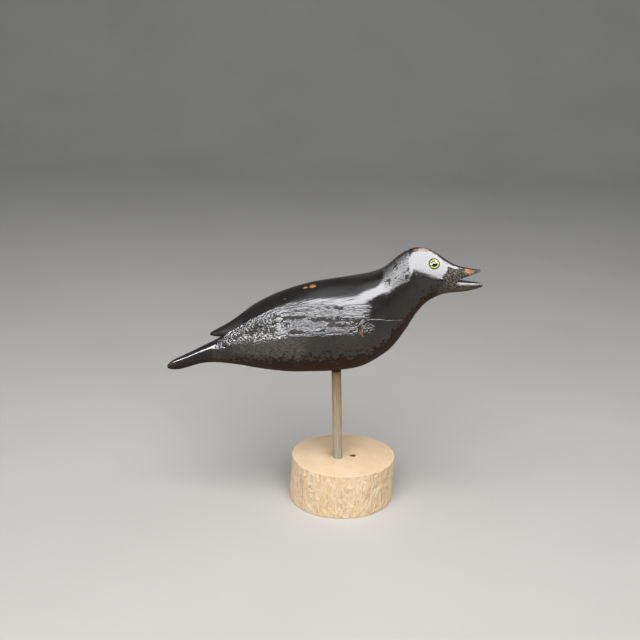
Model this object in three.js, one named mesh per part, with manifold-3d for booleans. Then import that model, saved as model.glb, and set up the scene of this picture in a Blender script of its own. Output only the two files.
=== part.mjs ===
import * as THREE from 'three';
import { mergeVertices, toCreasedNormals } from 'three/addons/utils/BufferGeometryUtils.js';
import Module from 'manifold-3d';

// A carved and painted wooden crow decoy with an open beak and glass eyes, on a dowel
// that stands in a slice of log. Millimetres, +Z up. The origin is the centre of the
// underside of the log slice, and the head points along +X.

// The crow. Every measure of its carving is a share of its length.
const BIRD_LENGTH = 356;

// The fits. CLEARANCE is the gap between two separate pieces, on every side.
const CLEARANCE = 0.3;

// The dowel, and how far its ends go into the crow and into the log slice.
const DOWEL_DIAMETER = 11.1;
const DOWEL_REACH = 113;
const DOWEL_IN_CROW = 32;
const DOWEL_IN_LOG = 28;
const DOWEL_LEAN = 2.6;
const DOWEL_FOOT_X = -5.7;
const DOWEL_FOOT_Y = -8.9;

// The glass eyes: round domes, each seated in a shallow bore in the side of the head.
const EYE_DIAMETER = 12;
const EYE_DOME = 4;
const EYE_SEAT = 2.4;
const EYE_AT = 0.306;
const EYE_UP = 0.346;
const EYE_OUT = 0.032;
const EYE_TILT = 25;
const EYE_FORWARD = 5;

// The log slice: outline, height, lean of its side, bark and the hole at the pith.
const LOG_HEIGHT = 54;
const LOG_TOP_RADIUS = 59.8;
const LOG_FOOT_RADIUS = 60.2;
const LOG_LEAN = 1.8;
const LOG_RIM = 1.2;
const BARK_RELIEF = 0.7;
const PITH_DIAMETER = 5;
const PITH_DEPTH = 7;
const PITH_X = 12.5;
const PITH_Y = -2;

// Stations of the crow from the tail end to the beak, as shares of its length. Each row is
// the place along the crow, the height of the back, the height of the belly, half the
// width, how far up the section is widest, and how square its upper and lower parts are
// (2 is a plain oval). Heights count from the belly where the dowel goes in.
const BODY = [
  [-0.542, 0.019, 0.007, 0.006, 0.5, 2.2, 2.2],
  [-0.536, 0.027, 0.004, 0.011, 0.55, 2.6, 2.4],
  [-0.52, 0.035, 0.003, 0.014, 0.6, 4, 3],
  [-0.48, 0.051, 0.01, 0.0185, 0.65, 5.31, 3],
  [-0.44, 0.0701, 0.023, 0.0232, 0.65, 4.85, 3],
  [-0.4, 0.0901, 0.028, 0.0279, 0.6, 3.5, 2.7],
  [-0.37, 0.1052, 0.028, 0.0357, 0.56, 3.07, 2.5],
  [-0.34, 0.1327, 0.024, 0.0482, 0.56, 2.94, 2.4],
  [-0.31, 0.1677, 0.02, 0.0573, 0.56, 2.52, 2.3],
  [-0.28, 0.1987, 0.014, 0.0702, 0.54, 2.24, 2.3],
  [-0.24, 0.2233, 0.008, 0.0921, 0.53, 2.33, 2.2],
  [-0.19, 0.247, 0.002, 0.1103, 0.52, 1.89, 2.2],
  [-0.13, 0.2696, -0.003, 0.12, 0.52, 1.72, 2.2],
  [-0.06, 0.2874, -0.003, 0.1242, 0.52, 1.73, 2.2],
  [0, 0.2961, 0, 0.1286, 0.52, 1.78, 2.2],
  [0.06, 0.3029, 0.007, 0.1266, 0.52, 2, 2.2],
  [0.1, 0.3064, 0.0195, 0.113, 0.52, 2.5, 2.2],
  [0.14, 0.3173, 0.041, 0.0973, 0.52, 2.56, 2.1],
  [0.17, 0.3383, 0.062, 0.0837, 0.52, 2.41, 2.1],
  [0.2, 0.3658, 0.096, 0.0691, 0.53, 2.29, 2],
  [0.23, 0.3846, 0.14, 0.0595, 0.54, 2.14, 2],
  [0.26, 0.3922, 0.191, 0.0525, 0.54, 1.65, 2],
  [0.29, 0.3863, 0.22, 0.0509, 0.5, 1.5, 2],
  [0.32, 0.3711, 0.236, 0.0478, 0.48, 1.5, 2.1],
  [0.35, 0.3472, 0.245, 0.0377, 0.48, 1.83, 2.2],
  [0.38, 0.3303, 0.246, 0.0259, 0.5, 2.42, 2.4],
  [0.42, 0.321, 0.25, 0.018, 0.5, 2.63, 2.6],
  [0.448, 0.3165, 0.2575, 0.012, 0.5, 2.7, 2.6],
  [0.462, 0.314, 0.262, 0.006, 0.5, 2.5, 2.5],
];

// The folded wing tips, in the same rows: a flat tongue that leaves the back and ends
// free above the tail.
const WING_TIPS = [
  [-0.398, 0.124, 0.118, 0.008, 0.5, 2.4, 2.4],
  [-0.39, 0.1285, 0.1165, 0.014, 0.5, 2.8, 2.8],
  [-0.37, 0.1375, 0.1155, 0.023, 0.6, 3, 3],
  [-0.34, 0.1535, 0.115, 0.034, 0.6, 3, 3],
  [-0.31, 0.174, 0.13, 0.042, 0.6, 2.6, 2.6],
  [-0.28, 0.197, 0.15, 0.044, 0.6, 2.4, 2.4],
  [-0.25, 0.21, 0.17, 0.038, 0.6, 2.3, 2.3],
  [-0.22, 0.22, 0.19, 0.026, 0.6, 2.2, 2.2],
];

// The open beak, as shares of the crow's length: the corner of the mouth, and the lower
// line of the upper bill and the upper line of the lower bill out at MOUTH_END.
const MOUTH_CORNER = 0.378;
const MOUTH_END = 0.492;
const UPPER_BILL_BACK = 0.29;
const UPPER_BILL_END = 0.322;
const LOWER_BILL_BACK = 0.2825;
const LOWER_BILL_END = 0.2675;

const BODY_POINTS = 36;
const WING_POINTS = 24;

const wasm = await Module();
wasm.setup();

// A smooth line through one column of a table, which never goes past its own values.
function lineThrough(table, column) {
  const at = table.map((row) => row[0]);
  const value = table.map((row) => row[column]);
  const last = at.length - 1;
  const rise = [];
  for (let i = 0; i < last; i += 1) {
    rise.push((value[i + 1] - value[i]) / (at[i + 1] - at[i]));
  }
  const slope = value.map((_, i) => {
    if (i === 0) return rise[0];
    if (i === last) return rise[last - 1];
    if (rise[i - 1] * rise[i] <= 0) return 0;
    return (2 * rise[i - 1] * rise[i]) / (rise[i - 1] + rise[i]);
  });
  return (x) => {
    let i = 0;
    while (i < last - 1 && x > at[i + 1]) i += 1;
    const span = at[i + 1] - at[i];
    const t = (x - at[i]) / span;
    const u = 1 - t;
    return value[i] * u * u * (1 + 2 * t) + value[i + 1] * t * t * (3 - 2 * t)
      + slope[i] * span * t * u * u - slope[i + 1] * span * t * t * u;
  };
}

function power(base, exponent) {
  return Math.sign(base) * Math.abs(base) ** exponent;
}

// Closes a stack of rings, each a list of points, into one solid.
function closeRings(rings) {
  const count = rings[0].length;
  const positions = [];
  const indices = [];
  for (const ring of rings) {
    for (const point of ring) positions.push(...point);
  }
  for (let r = 0; r < rings.length - 1; r += 1) {
    for (let k = 0; k < count; k += 1) {
      const a = r * count + k;
      const b = r * count + ((k + 1) % count);
      indices.push(a, b, a + count, b, b + count, a + count);
    }
  }
  for (const [r, flip] of [[0, false], [rings.length - 1, true]]) {
    const middle = [0, 1, 2].map((axis) => (
      rings[r].reduce((sum, point) => sum + point[axis], 0) / count
    ));
    const hub = positions.length / 3;
    positions.push(...middle);
    for (let k = 0; k < count; k += 1) {
      const a = r * count + k;
      const b = r * count + ((k + 1) % count);
      if (flip) indices.push(a, b, hub);
      else indices.push(b, a, hub);
    }
  }
  const geometry = new THREE.BufferGeometry();
  geometry.setAttribute('position', new THREE.Float32BufferAttribute(positions, 3));
  geometry.setIndex(indices);
  return geometry;
}

// A solid carried along the stations of a table, with one more ring between each pair.
function carve(table, pointsPerRing) {
  const [back, belly, half, girth, upper, lower] = [1, 2, 3, 4, 5, 6].map((column) => (
    lineThrough(table, column)
  ));
  const places = [];
  for (let i = 0; i < table.length - 1; i += 1) {
    places.push(table[i][0], (table[i][0] + table[i + 1][0]) / 2);
  }
  places.push(table[table.length - 1][0]);
  const rings = places.map((at) => {
    const top = back(at);
    const foot = belly(at);
    const middle = foot + girth(at) * (top - foot);
    const ring = [];
    for (let k = 0; k < pointsPerRing; k += 1) {
      const angle = (2 * Math.PI * k) / pointsPerRing;
      const c = Math.cos(angle);
      const s = Math.sin(angle);
      const square = s >= 0 ? upper(at) : lower(at);
      const height = s >= 0 ? top - middle : middle - foot;
      ring.push([
        at * BIRD_LENGTH,
        half(at) * BIRD_LENGTH * power(c, 2 / square),
        (middle + height * power(s, 2 / square)) * BIRD_LENGTH,
      ]);
    }
    return ring;
  });
  return closeRings(rings);
}

// A round rod from the height `from` to the height `to`.
function rod(radius, from, to, sides = 48) {
  const geometry = new THREE.CylinderGeometry(radius, radius, to - from, sides);
  geometry.rotateX(Math.PI / 2);
  geometry.translate(0, 0, (from + to) / 2);
  return geometry;
}

function toSolid(geometry) {
  const plain = new THREE.BufferGeometry();
  plain.setAttribute('position', geometry.getAttribute('position').clone());
  if (geometry.index) plain.setIndex(geometry.index.clone());
  const merged = mergeVertices(plain, 1e-4);
  return new wasm.Manifold(new wasm.Mesh({
    numProp: 3,
    vertProperties: new Float32Array(merged.getAttribute('position').array),
    triVerts: new Uint32Array(merged.index.array),
  }));
}

function toGeometry(solid) {
  const mesh = solid.getMesh();
  const geometry = new THREE.BufferGeometry();
  geometry.setAttribute('position', new THREE.BufferAttribute(mesh.vertProperties, 3));
  geometry.setIndex(new THREE.BufferAttribute(mesh.triVerts, 1));
  return geometry;
}

function piece(name, geometry, material, crease = 35) {
  const shaded = toCreasedNormals(geometry, THREE.MathUtils.degToRad(crease));
  const mesh = new THREE.Mesh(shaded, material);
  mesh.name = name;
  return mesh;
}

// Where an eye sits on the crow, and which way it looks: side is -1 for the crow's right
// and +1 for its left.
function eyePlace(side) {
  const tilt = THREE.MathUtils.degToRad(EYE_TILT);
  const forward = THREE.MathUtils.degToRad(EYE_FORWARD);
  const look = new THREE.Vector3(
    Math.cos(tilt) * Math.sin(forward),
    side * Math.cos(tilt) * Math.cos(forward),
    Math.sin(tilt),
  );
  const turn = new THREE.Quaternion().setFromUnitVectors(new THREE.Vector3(0, 0, 1), look);
  const spot = new THREE.Vector3(EYE_AT, side * EYE_OUT, EYE_UP).multiplyScalar(BIRD_LENGTH);
  return new THREE.Matrix4().compose(spot, turn, new THREE.Vector3(1, 1, 1));
}

// The wedge that opens the beak, through the full width of the head.
function mouthCutter() {
  const outline = new THREE.Shape([
    new THREE.Vector2(MOUTH_CORNER, LOWER_BILL_BACK),
    new THREE.Vector2(MOUTH_END, LOWER_BILL_END),
    new THREE.Vector2(MOUTH_END, UPPER_BILL_END),
    new THREE.Vector2(MOUTH_CORNER, UPPER_BILL_BACK),
  ].map((point) => point.multiplyScalar(BIRD_LENGTH)));
  const width = 0.2 * BIRD_LENGTH;
  const geometry = new THREE.ExtrudeGeometry(outline, { depth: width, bevelEnabled: false });
  geometry.translate(0, 0, -width / 2);
  geometry.rotateX(Math.PI / 2);
  return geometry;
}

const BORE_RADIUS = DOWEL_DIAMETER / 2 + CLEARANCE;
const SEAT_RADIUS = EYE_DIAMETER / 2 + CLEARANCE;

function crowGeometry() {
  const wings = toSolid(carve(WING_TIPS, WING_POINTS));
  let crow = toSolid(carve(BODY, BODY_POINTS)).add(wings);
  crow = crow.subtract(toSolid(mouthCutter()));
  const bore = rod(BORE_RADIUS, -DOWEL_IN_CROW, DOWEL_IN_CROW + CLEARANCE);
  crow = crow.subtract(toSolid(bore));
  for (const side of [-1, 1]) {
    const seat = rod(SEAT_RADIUS, -EYE_SEAT - CLEARANCE, EYE_SEAT + EYE_DIAMETER);
    seat.applyMatrix4(eyePlace(side));
    crow = crow.subtract(toSolid(seat));
  }
  return toGeometry(crow);
}

// One eye: a flat back, a short straight edge and a dome.
function eyeGeometry() {
  const radius = EYE_DIAMETER / 2;
  const steps = 6;
  const profile = [new THREE.Vector2(0, -EYE_SEAT), new THREE.Vector2(radius, -EYE_SEAT)];
  for (let i = 0; i < steps; i += 1) {
    const angle = (Math.PI / 2) * (i / steps);
    profile.push(new THREE.Vector2(radius * Math.cos(angle), EYE_DOME * Math.sin(angle)));
  }
  profile.push(new THREE.Vector2(0, EYE_DOME));
  const geometry = new THREE.LatheGeometry(profile, 28);
  geometry.rotateX(Math.PI / 2);
  return geometry;
}

// How far the outline of the log slice stands out from a circle at an angle.
function logOutline(angle) {
  return 1 + 0.026 * Math.cos(2 * angle - 0.25) + 0.006 * Math.cos(3 * angle - 1.1)
    + 0.004 * Math.sin(5 * angle + 0.4);
}

// The bark: upright ridges, between 0 in the furrows and -1 at the deepest.
function barkDepth(angle, level) {
  const ridge = Math.sin(23 * angle + 2.2 * Math.sin(3 * level + 4 * angle));
  const fine = Math.sin(41 * angle - 1.7 * Math.sin(5 * level - 3 * angle));
  return -0.5 + 0.3 * ridge + 0.2 * fine;
}

function logGeometry() {
  const sides = 120;
  const shift = LOG_HEIGHT * Math.tan(THREE.MathUtils.degToRad(LOG_LEAN));
  const levels = [0, 0.03, 0.2, 0.38, 0.56, 0.74, 0.9, 1 - LOG_RIM / LOG_HEIGHT, 1];
  const rings = levels.map((level) => {
    const radius = THREE.MathUtils.lerp(LOG_FOOT_RADIUS, LOG_TOP_RADIUS, level);
    const inset = level === 1 ? LOG_RIM : 0;
    const ring = [];
    for (let k = 0; k < sides; k += 1) {
      const angle = (2 * Math.PI * k) / sides;
      const bark = BARK_RELIEF * barkDepth(angle, level);
      const reach = radius * logOutline(angle) + bark - inset;
      ring.push([
        reach * Math.cos(angle) + shift * (level - 0.5),
        reach * Math.sin(angle),
        level * LOG_HEIGHT,
      ]);
    }
    return ring;
  });
  let log = toSolid(closeRings(rings));
  const bore = rod(BORE_RADIUS, -DOWEL_IN_LOG - CLEARANCE, DOWEL_IN_LOG);
  bore.applyMatrix4(mastPlace());
  log = log.subtract(toSolid(bore));
  const pith = rod(PITH_DIAMETER / 2, LOG_HEIGHT - PITH_DEPTH, LOG_HEIGHT + PITH_DEPTH, 20);
  pith.translate(PITH_X, PITH_Y, 0);
  return toGeometry(log.subtract(toSolid(pith)));
}

// The dowel's own place: its foot on the top of the log slice, leaning towards the tail.
function mastPlace() {
  const lean = new THREE.Matrix4().makeRotationY(THREE.MathUtils.degToRad(-DOWEL_LEAN));
  return lean.setPosition(DOWEL_FOOT_X, DOWEL_FOOT_Y, LOG_HEIGHT);
}

const paint = new THREE.MeshStandardMaterial({ color: 0x25211e, roughness: 0.32, metalness: 0 });
const glass = new THREE.MeshStandardMaterial({ color: 0xd8dd5c, roughness: 0.05, metalness: 0 });
const dowelWood = new THREE.MeshStandardMaterial({ color: 0xa89470, roughness: 0.75, metalness: 0 });
const logWood = new THREE.MeshStandardMaterial({ color: 0xdcc6a0, roughness: 0.9, metalness: 0 });

const decoy = new THREE.Group();
decoy.name = 'crow_decoy';
decoy.add(piece('log_base', logGeometry(), logWood));

const mast = new THREE.Group();
mast.name = 'mast';
mast.applyMatrix4(mastPlace());
const post = rod(DOWEL_DIAMETER / 2, -DOWEL_IN_LOG, DOWEL_REACH + DOWEL_IN_CROW);
mast.add(piece('dowel_post', post, dowelWood));
decoy.add(mast);

const bird = new THREE.Group();
bird.name = 'crow';
bird.position.set(0, 0, DOWEL_REACH);
bird.add(piece('crow_body', crowGeometry(), paint));
for (const [name, side] of [['eye_right', -1], ['eye_left', 1]]) {
  const eye = piece(name, eyeGeometry(), glass);
  eye.applyMatrix4(eyePlace(side));
  bird.add(eye);
}
mast.add(bird);

export default decoy;
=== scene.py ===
import math

import bpy
import numpy as np
from mathutils import Matrix, Vector


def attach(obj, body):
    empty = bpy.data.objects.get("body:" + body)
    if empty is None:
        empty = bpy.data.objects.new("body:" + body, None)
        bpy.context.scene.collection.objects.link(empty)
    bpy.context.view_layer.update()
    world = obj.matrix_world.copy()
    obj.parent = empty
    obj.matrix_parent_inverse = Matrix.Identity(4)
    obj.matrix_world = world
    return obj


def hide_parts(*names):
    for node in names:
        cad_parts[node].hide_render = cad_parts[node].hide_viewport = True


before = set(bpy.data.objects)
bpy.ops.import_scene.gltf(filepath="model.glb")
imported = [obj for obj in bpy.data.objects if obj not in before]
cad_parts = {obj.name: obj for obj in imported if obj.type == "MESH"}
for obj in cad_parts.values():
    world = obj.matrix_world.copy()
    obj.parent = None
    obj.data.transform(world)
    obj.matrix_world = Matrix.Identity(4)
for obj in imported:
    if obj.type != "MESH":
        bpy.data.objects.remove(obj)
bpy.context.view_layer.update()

# Sizes of the decoy, in metres. The crow's tables are shares of its length.
MM = 0.001
BIRD_LENGTH = 356 * MM
DOWEL_RADIUS = 5.55 * MM
DOWEL_REACH = 113 * MM
DOWEL_IN_CROW = 32 * MM
DOWEL_IN_LOG = 28 * MM
DOWEL_LEAN = math.radians(2.6)
LOG_HEIGHT = 54 * MM
DOWEL_FOOT = Vector((-5.7 * MM, -8.9 * MM, LOG_HEIGHT))
GAP = 0.3 * MM

EYE_RADIUS = 6 * MM
EYE_DOME = 4 * MM
EYE_SEAT = 2.4 * MM
EYE_AT = 0.306
EYE_UP = 0.346
EYE_OUT = 0.032
EYE_TILT = math.radians(25)
EYE_FORWARD = math.radians(5)
# How far the cutter of an eye's bore stands out of the head.
EYE_CUTTER = 12 * MM

LOG_TOP_RADIUS = 59.8 * MM
LOG_FOOT_RADIUS = 60.2 * MM
LOG_LEAN = math.radians(1.8)
PITH = Vector((12.5 * MM, -2 * MM))

# Steps along and round the fine meshes.
TABLE_STEPS = 1424
SECTION_STEPS = 1441
CROW_SIDES = 200
TIP_RINGS = 60
TIP_SIDES = 72
CUTTER_SIDES = 64
CHIP_RINGS = 14
CHIP_SIDES = 24
EYE_SIDES = 72
PUPIL_SIDES = 48
DOME_STEPS = 20
DOWEL_SIDES = 96
DOWEL_RINGS = 150
LOG_SIDES = 576

# Place along the crow, back, belly, half width, how far up it is widest, and how square
# the upper and lower parts of the section are.
BODY = [
    (-0.542, 0.019, 0.007, 0.006, 0.5, 2.2, 2.2),
    (-0.536, 0.027, 0.004, 0.011, 0.55, 2.6, 2.4),
    (-0.52, 0.035, 0.003, 0.014, 0.6, 4, 3),
    (-0.48, 0.051, 0.01, 0.0185, 0.65, 5.31, 3),
    (-0.44, 0.0701, 0.023, 0.0232, 0.65, 4.85, 3),
    (-0.4, 0.0901, 0.028, 0.0279, 0.6, 3.5, 2.7),
    (-0.37, 0.1052, 0.028, 0.0357, 0.56, 3.07, 2.5),
    (-0.34, 0.1327, 0.024, 0.0482, 0.56, 2.94, 2.4),
    (-0.31, 0.1677, 0.02, 0.0573, 0.56, 2.52, 2.3),
    (-0.28, 0.1987, 0.014, 0.0702, 0.54, 2.24, 2.3),
    (-0.24, 0.2233, 0.008, 0.0921, 0.53, 2.33, 2.2),
    (-0.19, 0.247, 0.002, 0.1103, 0.52, 1.89, 2.2),
    (-0.13, 0.2696, -0.003, 0.12, 0.52, 1.72, 2.2),
    (-0.06, 0.2874, -0.003, 0.1242, 0.52, 1.73, 2.2),
    (0, 0.2961, 0, 0.1286, 0.52, 1.78, 2.2),
    (0.06, 0.3029, 0.007, 0.1266, 0.52, 2, 2.2),
    (0.1, 0.3064, 0.0195, 0.113, 0.52, 2.5, 2.2),
    (0.14, 0.3173, 0.041, 0.0973, 0.52, 2.56, 2.1),
    (0.17, 0.3383, 0.062, 0.0837, 0.52, 2.41, 2.1),
    (0.2, 0.3658, 0.096, 0.0691, 0.53, 2.29, 2),
    (0.23, 0.3846, 0.14, 0.0595, 0.54, 2.14, 2),
    (0.26, 0.3922, 0.191, 0.0525, 0.54, 1.65, 2),
    (0.29, 0.3863, 0.22, 0.0509, 0.5, 1.5, 2),
    (0.32, 0.3711, 0.236, 0.0478, 0.48, 1.5, 2.1),
    (0.35, 0.3472, 0.245, 0.0377, 0.48, 1.83, 2.2),
    (0.38, 0.3303, 0.246, 0.0259, 0.5, 2.42, 2.4),
    (0.42, 0.321, 0.25, 0.018, 0.5, 2.63, 2.6),
    (0.448, 0.3165, 0.2575, 0.012, 0.5, 2.7, 2.6),
    (0.462, 0.314, 0.262, 0.006, 0.5, 2.5, 2.5),
]
WING_TIPS = [
    (-0.398, 0.124, 0.118, 0.008, 0.5, 2.4, 2.4),
    (-0.39, 0.1285, 0.1165, 0.014, 0.5, 2.8, 2.8),
    (-0.37, 0.1375, 0.1155, 0.023, 0.6, 3, 3),
    (-0.34, 0.1535, 0.115, 0.034, 0.6, 3, 3),
    (-0.31, 0.174, 0.13, 0.042, 0.6, 2.6, 2.6),
    (-0.28, 0.197, 0.15, 0.044, 0.6, 2.4, 2.4),
    (-0.25, 0.21, 0.17, 0.038, 0.6, 2.3, 2.3),
    (-0.22, 0.22, 0.19, 0.026, 0.6, 2.2, 2.2),
]
# The wedge that opens the beak, as (place, height) of its corners, and its half width.
MOUTH = [(0.378, 0.2825), (0.492, 0.2675), (0.492, 0.322), (0.378, 0.29)]
MOUTH_HALF = 35 * MM
# How far the tables are smoothed along the crow, as shares of its length.
BODY_SOFT = 0.012
TIPS_SOFT = 0.004


# Helpers

def line_through(table, column, x):
    """A smooth line through one column of a table, which never goes past its own values."""
    at, value = np.array(table).T[[0, column]]
    rise = np.diff(value) / np.diff(at)
    slope = np.concatenate([[rise[0]], np.zeros(len(at) - 2), [rise[-1]]])
    before, after = rise[:-1], rise[1:]
    same = before * after > 0
    slope[1:-1][same] = 2 * before[same] * after[same] / (before + after)[same]
    i = np.clip(np.searchsorted(at, x) - 1, 0, len(at) - 2)
    span = at[i + 1] - at[i]
    t = (x - at[i]) / span
    u = 1 - t
    return (value[i] * u * u * (1 + 2 * t) + value[i + 1] * t * t * (3 - 2 * t)
            + slope[i] * span * t * u * u - slope[i + 1] * span * t * t * u)


# Odd numbers that mix up the corners of the noise's cells.
SCRAMBLE = [np.uint64(n) for n in (0x9E3779B1, 0x85EBCA77, 0xC2B2AE3D)]
STIR = np.uint64(0x2C1B3C6D)
STIR_AGAIN = np.uint64(0x297A2D39)
TOP_VALUE = 0xFFFF


def noise(points, size, seed, octaves=1):
    """Smooth noise from about -1 to 1. size is the width of one lump along each axis."""
    total = np.zeros(len(points))
    weight = 1.0
    for octave in range(octaves):
        q = points / size * 2 ** octave + 17.3 * seed + 5.1 * octave
        cell = np.floor(q).astype(np.int64)
        part = q - cell
        part = part * part * (3 - 2 * part)
        value = np.zeros(len(points))
        for corner in range(8):
            step = np.array([corner & 1, corner >> 1 & 1, corner >> 2 & 1])
            c = (cell + step).astype(np.uint64)
            h = c[:, 0] * SCRAMBLE[0] ^ c[:, 1] * SCRAMBLE[1] ^ c[:, 2] * SCRAMBLE[2]
            h = h + np.uint64(seed * 7919 + 13)
            h = (h ^ h >> np.uint64(15)) * STIR
            h = (h ^ h >> np.uint64(12)) * STIR_AGAIN
            h = (h ^ h >> np.uint64(15)) & np.uint64(TOP_VALUE)
            w = np.prod(np.where(step, part, 1 - part), axis=1)
            value += w * (h.astype(float) / (TOP_VALUE / 2) - 1)
        total += weight * value
        weight *= 0.5
    return total


def ease(low, high, x):
    """0 at low, 1 at high and smooth between them. Low may be the greater of the two."""
    t = np.clip((x - low) / (high - low), 0, 1)
    return t * t * (3 - 2 * t)


def new_object(name, data):
    made = bpy.data.objects.new(name, data)
    bpy.context.scene.collection.objects.link(made)
    return made


def make_object(name, vertices, faces, materials):
    mesh = bpy.data.meshes.new(name)
    mesh.from_pydata([tuple(v) for v in vertices], [], [tuple(f) for f in faces])
    mesh.validate()
    for m in materials:
        mesh.materials.append(m)
    return new_object(name, mesh)


def solid(name, rings, *materials):
    """One closed solid from an array of rings (rings, points, 3)."""
    count, points = rings.shape[:2]
    k = np.arange(points)
    after = (k + 1) % points
    row = np.arange(count - 1)[:, None] * points
    last = (count - 1) * points
    hub = np.full(points, count * points)
    quads = np.stack([row + k, row + after, row + after + points, row + k + points], -1).reshape(-1, 4)
    first = np.stack([after, k, hub], -1)
    final = np.stack([last + k, last + after, hub + 1], -1)
    vertices = np.concatenate([rings.reshape(-1, 3), rings[:1].mean(1), rings[-1:].mean(1)])
    faces = quads.tolist() + first.tolist() + final.tolist()
    # Faces that look inwards are turned round.
    volume = 0
    for corners in (quads[:, :3], quads[:, [0, 2, 3]], first, final):
        a, b, c = (vertices[corners[:, i]] for i in range(3))
        volume += np.einsum("ij,ij", a, np.cross(b, c))
    if volume < 0:
        faces = [face[::-1] for face in faces]
    return make_object(name, vertices, faces, materials)


def carve(table, places, points, soft):
    """Rings of the carving at places along the crow, each with evenly spaced points.
    The table's lines are smoothed over soft, a share of the crow's length."""
    grid = np.linspace(table[0][0], table[-1][0], TABLE_STEPS)
    gap = grid[1] - grid[0]
    reach = int(3 * soft / gap)
    kernel = np.exp(-0.5 * (np.arange(-reach, reach + 1) * gap / soft) ** 2)
    columns = []
    for column in range(1, 7):
        line = line_through(table, column, grid)
        padded = np.concatenate([2 * line[0] - line[reach:0:-1], line,
                                 2 * line[-1] - line[-2:-reach - 2:-1]])
        line = np.convolve(padded, kernel / kernel.sum(), "valid")
        columns.append(np.interp(places, grid, line))
    back, belly, half, girth, upper, lower = columns
    middle = belly + girth * (back - belly)
    angle = np.linspace(math.pi / 2, math.pi * 2.5, SECTION_STEPS)
    c, s = np.cos(angle), np.sin(angle)
    square = np.where(s >= 0, upper[:, None], lower[:, None])
    height = np.where(s >= 0, (back - middle)[:, None], (middle - belly)[:, None])
    y = half[:, None] * np.sign(c) * np.abs(c) ** (2 / square)
    z = middle[:, None] + height * np.sign(s) * np.abs(s) ** (2 / square)
    rings = np.zeros((len(places), points, 3))
    for r in range(len(places)):
        step = np.hypot(np.diff(y[r]), np.diff(z[r]))
        run = np.concatenate([[0], np.cumsum(step)])
        want = np.linspace(0, run[-1], points + 1)[:-1]
        rings[r, :, 1] = np.interp(want, run, y[r])
        rings[r, :, 2] = np.interp(want, run, z[r])
    rings[:, :, 0] = places[:, None]
    return rings * BIRD_LENGTH


def vectors(items, name):
    """The named vector of each item, as an array (items, 3)."""
    flat = np.zeros(len(items) * 3)
    items.foreach_get(name, flat)
    return flat.reshape(-1, 3)


def set_coordinates(mesh, co):
    mesh.vertices.foreach_set("co", co.ravel())
    mesh.update()


def boolean(target, cutter, operation):
    """Joins or cuts target with cutter, keeps the result and removes the cutter."""
    m = target.modifiers.new("cut", "BOOLEAN")
    m.object = cutter
    m.operation = operation
    m.solver = "EXACT"
    graph = bpy.context.evaluated_depsgraph_get()
    result = bpy.data.meshes.new_from_object(target.evaluated_get(graph))
    target.modifiers.clear()
    old = target.data
    target.data = result
    bpy.data.meshes.remove(old)
    bpy.data.objects.remove(cutter)


def put_fields(mesh, fields, start=0):
    """Gives the mesh's points, from the number start on, the values of each named field."""
    for name, values in fields.items():
        whole = np.zeros(len(mesh.vertices), np.float32)
        whole[start:start + len(values)] = values
        mesh.attributes.new(name, "FLOAT", "POINT").data.foreach_set("value", whole)


def round_rings(profile, sides):
    """Rings round Z, one for each (radius, height) pair of a profile."""
    angle = np.linspace(0, 2 * math.pi, sides, endpoint=False)
    return np.stack([np.stack([r * np.cos(angle), r * np.sin(angle), np.full(sides, h)], -1)
                     for r, h in profile])


def rod(name, radius, low, high):
    """A plain round cutter on Z."""
    return solid(name, round_rings([(radius, low), (radius, high)], CUTTER_SIDES))


def smooth_shading(made, angle):
    """Smooth shading, but for edges where the surface turns by more than angle, in degrees."""
    made.data.shade_smooth()
    made.data.set_sharp_from_angle(angle=math.radians(angle))


def along(line, x):
    """The value at x of straight lines through (place, value) pairs."""
    at, value = zip(*line)
    return np.interp(x, at, value)


def swell(t):
    """A ridge with a hollow under it: 1 at t = 0.7 and -1 at t = -0.7."""
    return 2.33 * t * np.exp(-t * t)


def window(x, start, full, fade, end):
    """1 from full to fade, and falling smoothly to 0 at start and end."""
    return ease(start, full, x) * ease(end, fade, x)


def most(*fields):
    """The greatest of several fields at each point."""
    return np.maximum.reduce(fields)


def blob(points, centre, size):
    """1 at the centre, falling to 0 at a distance of size (one value for each axis)."""
    d = np.linalg.norm((points - np.array(centre) * MM) / (np.array(size) * MM), axis=1)
    return np.clip(1 - d, 0, 1)


def blobs(points, rows):
    """The greatest of several blobs at each point, from rows of (centre, size, strength)."""
    return most(*(strength * blob(points, centre, size) for centre, size, strength in rows))


# Node helpers

def set_inputs(node, values):
    """Sets a node's sockets. An underscore in a name stands for a space."""
    for name, value in values.items():
        node.inputs[name.replace("_", " ")].default_value = value


def rgba(value):
    """A grey or a colour as four numbers. A node's output stays as it is."""
    if isinstance(value, bpy.types.NodeSocket):
        return value
    if not isinstance(value, tuple):
        value = (value, value, value)
    return (*value, 1)


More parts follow.
